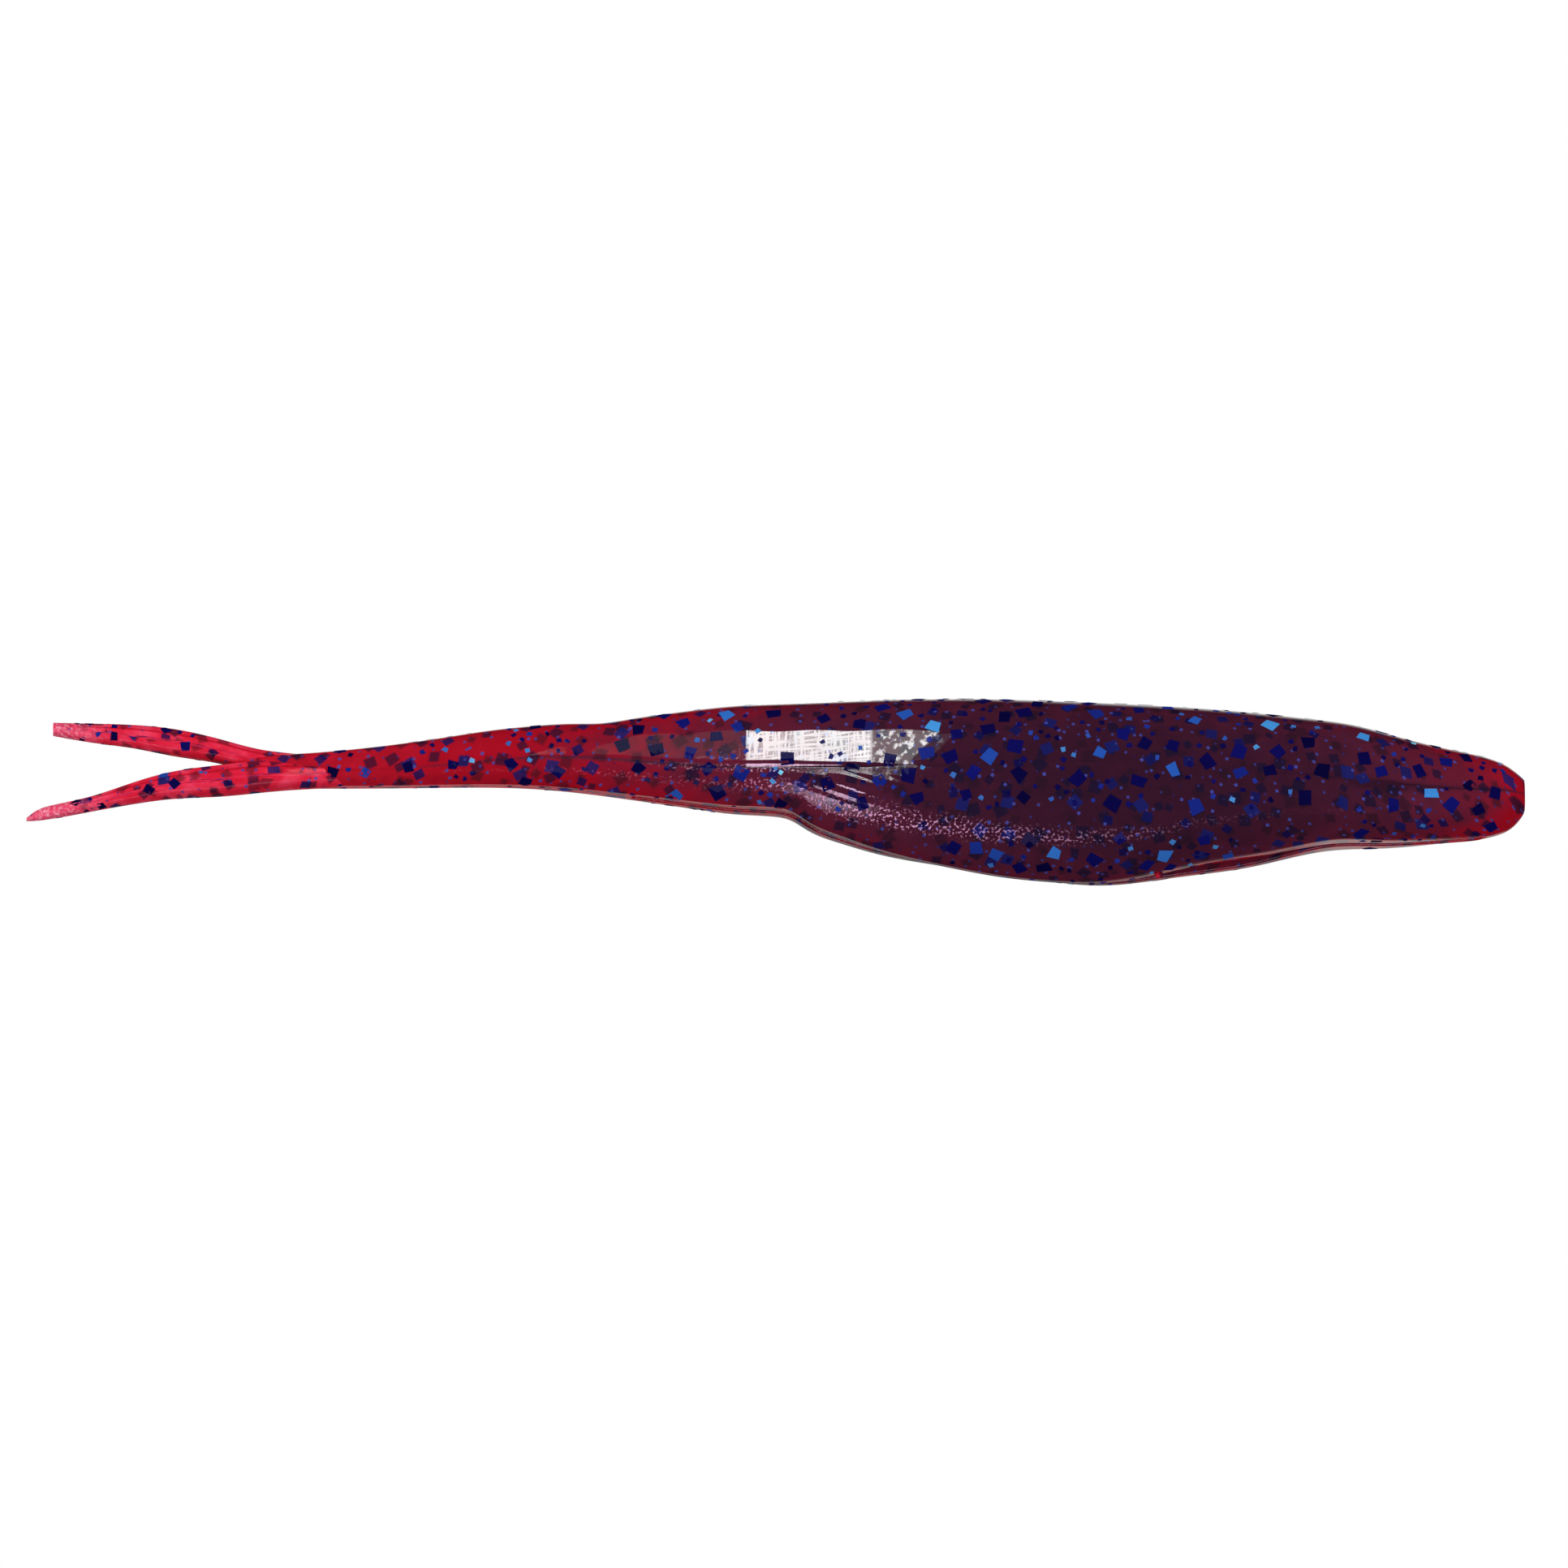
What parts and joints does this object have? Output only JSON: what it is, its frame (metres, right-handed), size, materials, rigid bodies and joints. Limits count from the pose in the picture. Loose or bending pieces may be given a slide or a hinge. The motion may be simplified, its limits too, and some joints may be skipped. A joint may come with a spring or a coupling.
{
  "type": "soft plastic worm",
  "caption": "Soft plastic minnow-shaped worm: thick body with a hook slot along the belly, slim tail stem and a forked tail, clear wine-red plastic full of blue glitter flakes.",
  "frame": {"origin": "centre of the small flat at the tip of the nose, where the sprue was cut and where a hook or jig head enters", "axes": "+X out of the nose, so the tail runs to -X; +Z towards the back; Y across the body; the pose is the swimming one"},
  "size_m": [0.1333, 0.0126, 0.0169],
  "materials": {
    "soft_plastic": "clear wine-red soft plastic, glossy and slightly oily",
    "large_flake": "metallised blue film",
    "small_flake": "metallised pale blue film"
  },
  "bodies": {
    "head": {"head_core": "soft_plastic", "head_large_flakes": "large_flake", "head_small_flakes": "small_flake"},
    "trunk": {"trunk_core": "soft_plastic", "trunk_large_flakes": "large_flake", "trunk_small_flakes": "small_flake"},
    "left_lip": {"left_lip_core": "soft_plastic", "left_lip_large_flakes": "large_flake", "left_lip_small_flakes": "small_flake"},
    "right_lip": {"right_lip_core": "soft_plastic", "right_lip_large_flakes": "large_flake", "right_lip_small_flakes": "small_flake"},
    "rear_body": {"rear_body_core": "soft_plastic", "rear_body_large_flakes": "large_flake", "rear_body_small_flakes": "small_flake"},
    "stem_root": {"stem_root_core": "soft_plastic", "stem_root_large_flakes": "large_flake", "stem_root_small_flakes": "small_flake"},
    "stem_mid": {"stem_mid_core": "soft_plastic", "stem_mid_large_flakes": "large_flake", "stem_mid_small_flakes": "small_flake"},
    "stem_tip": {"stem_tip_core": "soft_plastic", "stem_tip_large_flakes": "large_flake", "stem_tip_small_flakes": "small_flake"},
    "upper_prong_base": {"upper_prong_base_core": "soft_plastic", "upper_prong_base_large_flakes": "large_flake", "upper_prong_base_small_flakes": "small_flake"},
    "upper_prong_tip": {"upper_prong_tip_core": "soft_plastic", "upper_prong_tip_large_flakes": "large_flake", "upper_prong_tip_small_flakes": "small_flake"},
    "lower_prong_base": {"lower_prong_base_core": "soft_plastic", "lower_prong_base_large_flakes": "large_flake", "lower_prong_base_small_flakes": "small_flake"},
    "lower_prong_tip": {"lower_prong_tip_core": "soft_plastic", "lower_prong_tip_large_flakes": "large_flake", "lower_prong_tip_small_flakes": "small_flake"}
  },
  "joints": [
    {"name": "nape_bend", "type": "hinge", "parent": "head", "child": "trunk", "pos_m": [-0.0165, 0, 0.0008], "axis": [0, 1, 0], "range_deg": [-6, 6], "stiffness_Nm_per_rad": 0.1},
    {"name": "left_lip_spread", "type": "hinge", "parent": "trunk", "child": "left_lip", "pos_m": [-0.0395, 0.0032, -0.0035], "axis": [1, 0, 0], "range_deg": [0, 12], "stiffness_Nm_per_rad": 0.005},
    {"name": "right_lip_spread", "type": "hinge", "parent": "trunk", "child": "right_lip", "pos_m": [-0.0395, -0.0032, -0.0035], "axis": [-1, 0, 0], "range_deg": [0, 12], "stiffness_Nm_per_rad": 0.005},
    {"name": "waist_bend", "type": "hinge", "parent": "trunk", "child": "rear_body", "pos_m": [-0.064, 0, 0.003], "axis": [0, 0, 1], "range_deg": [-10, 10], "stiffness_Nm_per_rad": 0.02},
    {"name": "stem_start_bend", "type": "hinge", "parent": "rear_body", "child": "stem_root", "pos_m": [-0.082, 0, 0.003], "axis": [0, 0, 1], "range_deg": [-14, 14], "stiffness_Nm_per_rad": 0.004},
    {"name": "stem_nod", "type": "hinge", "parent": "stem_root", "child": "stem_mid", "pos_m": [-0.092, 0, 0.0031], "axis": [0, 1, 0], "range_deg": [-12, 12], "stiffness_Nm_per_rad": 0.003},
    {"name": "stem_whip", "type": "hinge", "parent": "stem_mid", "child": "stem_tip", "pos_m": [-0.101, 0, 0.0024], "axis": [0, 0, 1], "range_deg": [-16, 16], "stiffness_Nm_per_rad": 0.0015},
    {"name": "upper_prong_swing", "type": "hinge", "parent": "stem_tip", "child": "upper_prong_base", "pos_m": [-0.116, 0, 0.0039], "axis": [0, 0, 1], "range_deg": [-18, 18], "stiffness_Nm_per_rad": 0.0004},
    {"name": "upper_prong_flutter", "type": "hinge", "parent": "upper_prong_base", "child": "upper_prong_tip", "pos_m": [-0.124, 0, 0.0052], "axis": [0, 0, 1], "range_deg": [-20, 20], "stiffness_Nm_per_rad": 0.00015},
    {"name": "lower_prong_swing", "type": "hinge", "parent": "stem_tip", "child": "lower_prong_base", "pos_m": [-0.116, 0, 0.00105], "axis": [0, 0, 1], "range_deg": [-18, 18], "stiffness_Nm_per_rad": 0.0004},
    {"name": "lower_prong_flutter", "type": "hinge", "parent": "lower_prong_base", "child": "lower_prong_tip", "pos_m": [-0.124, 0, -0.00004], "axis": [0, 0, 1], "range_deg": [-20, 20], "stiffness_Nm_per_rad": 0.00015}
  ]
}
